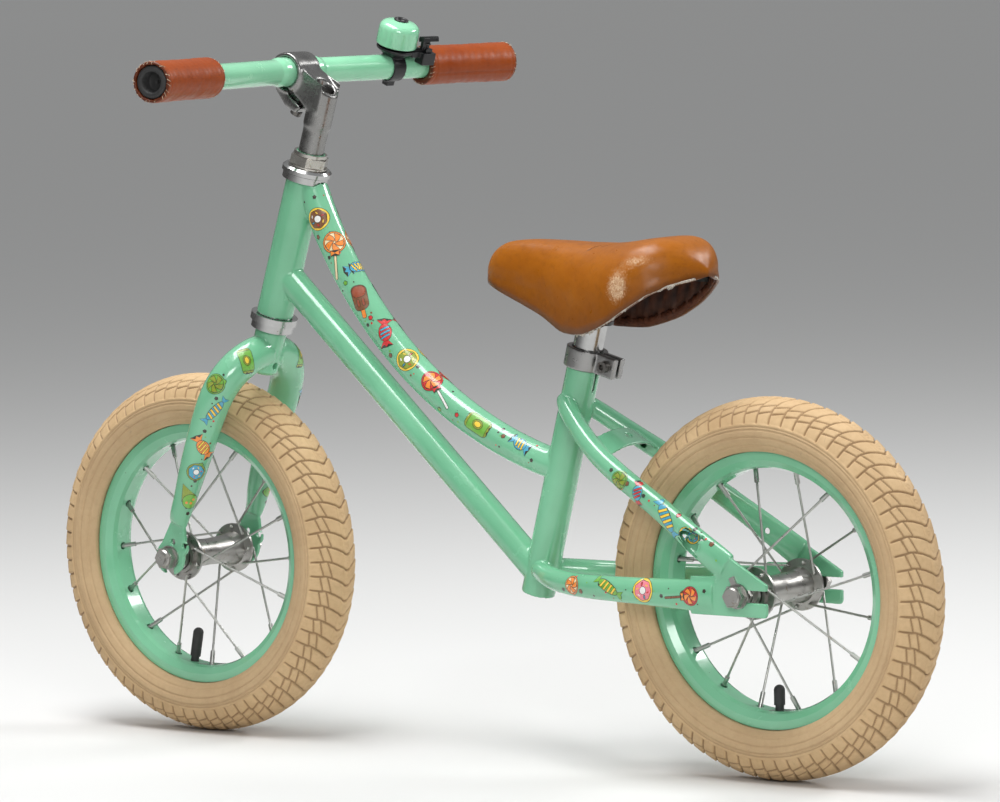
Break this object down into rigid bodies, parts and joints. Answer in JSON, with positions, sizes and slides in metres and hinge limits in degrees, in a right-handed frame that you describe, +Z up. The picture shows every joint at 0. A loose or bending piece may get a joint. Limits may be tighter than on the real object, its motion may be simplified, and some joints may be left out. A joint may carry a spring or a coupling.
{
  "type": "balance bike",
  "caption": "Child's balance bike: curved top tube frame, spoked wheels with cream tyres, swept bar with bell, padded saddle on a sliding post.",
  "frame": {"origin": "on the ground, midway between the axles, in the middle plane", "axes": "+X forwards, +Y to the rider's left, +Z up"},
  "size_m": [0.9206, 0.483, 0.6222],
  "materials": {
    "frame_paint": "glossy pale green paint",
    "bell_paint": "glossy pale green paint on a pressed bell dome",
    "chrome": "bright chrome plate",
    "alloy": "cast alloy, smooth",
    "dark_steel": "blackened steel",
    "spoke_steel": "plated wire",
    "tyre_cream": "cream rubber, block tread",
    "rubber": "black rubber",
    "black_plastic": "black moulded plastic",
    "grip_leather": "orange-brown leather look, stitched seam",
    "saddle_leather": "orange-brown leather look, worn on the left flank"
  },
  "bodies": {
    "frame": {"head_tube": "frame_paint", "seat_tube": "frame_paint", "top_tube": "frame_paint", "down_tube": "frame_paint", "seat_stay_left": "frame_paint", "seat_stay_right": "frame_paint", "chain_stay_left": "frame_paint", "chain_stay_right": "frame_paint", "rear_dropout_left": "frame_paint", "rear_dropout_right": "frame_paint", "stay_bridge": "frame_paint", "headset_cups": "chrome", "seat_clamp": "alloy", "seat_clamp_bolt": "dark_steel", "rear_axle": "chrome", "rear_cones": "chrome", "rear_axle_nuts": "chrome"},
    "fork": {"steerer": "frame_paint", "fork_leg_left": "frame_paint", "fork_leg_right": "frame_paint", "front_dropout_left": "frame_paint", "front_dropout_right": "frame_paint", "headset_races": "chrome", "headset_nuts": "chrome", "headset_balls": "chrome", "front_axle": "chrome", "front_cones": "chrome", "front_axle_nuts": "chrome"},
    "stem": {"stem": "alloy", "stem_bolts": "dark_steel", "stem_wedge": "dark_steel"},
    "handlebar": {"handlebar": "frame_paint", "grip_left": "grip_leather", "grip_right": "grip_leather", "bar_plugs": "black_plastic", "bell_base": "black_plastic", "bell_dome": "bell_paint", "bell_screw": "dark_steel", "bell_spring": "dark_steel"},
    "bell_lever": {"bell_lever": "black_plastic"},
    "front_wheel": {"front_tyre": "tyre_cream", "front_inner_tube": "rubber", "front_rim": "frame_paint", "front_spokes": "spoke_steel", "front_nipples": "spoke_steel", "front_hub": "chrome", "front_hub_balls": "dark_steel", "front_valve": "rubber"},
    "rear_wheel": {"rear_tyre": "tyre_cream", "rear_inner_tube": "rubber", "rear_rim": "frame_paint", "rear_spokes": "spoke_steel", "rear_nipples": "spoke_steel", "rear_hub": "chrome", "rear_hub_balls": "dark_steel", "rear_valve": "rubber"},
    "saddle": {"seat_post": "chrome", "saddle_clamp": "black_plastic", "saddle_shell": "black_plastic", "saddle_cover": "saddle_leather"}
  },
  "joints": [
    {"name": "steering", "type": "hinge", "parent": "frame", "child": "fork", "pos_m": [0.20279, 0, 0.4236], "axis": [-0.3057, 0, 0.9521], "continuous": true},
    {"name": "stem_height", "type": "slide", "parent": "fork", "child": "stem", "axis": [-0.3057, 0, 0.9521], "range_m": [-0.015, 0.02]},
    {"name": "bar_tilt", "type": "hinge", "parent": "stem", "child": "handlebar", "pos_m": [0.1906, 0, 0.5772], "axis": [0, 1, 0], "range_deg": [-15, 15]},
    {"name": "bell_ring", "type": "hinge", "parent": "handlebar", "child": "bell_lever", "pos_m": [0.14863, -0.12932, 0.59086], "axis": [-0.335, 0.0688, 0.9397], "range_deg": [0, 16], "stiffness_Nm_per_rad": 0.02, "springref_deg": -8.59},
    {"name": "front_wheel_spin", "type": "hinge", "parent": "fork", "child": "front_wheel", "pos_m": [0.3033, 0, 0.157], "axis": [0, 1, 0], "continuous": true},
    {"name": "rear_wheel_spin", "type": "hinge", "parent": "frame", "child": "rear_wheel", "pos_m": [-0.3033, 0, 0.157], "axis": [0, 1, 0], "continuous": true},
    {"name": "saddle_height", "type": "slide", "parent": "frame", "child": "saddle", "axis": [-0.2662, 0, 0.9639], "range_m": [-0.005, 0.05]}
  ]
}
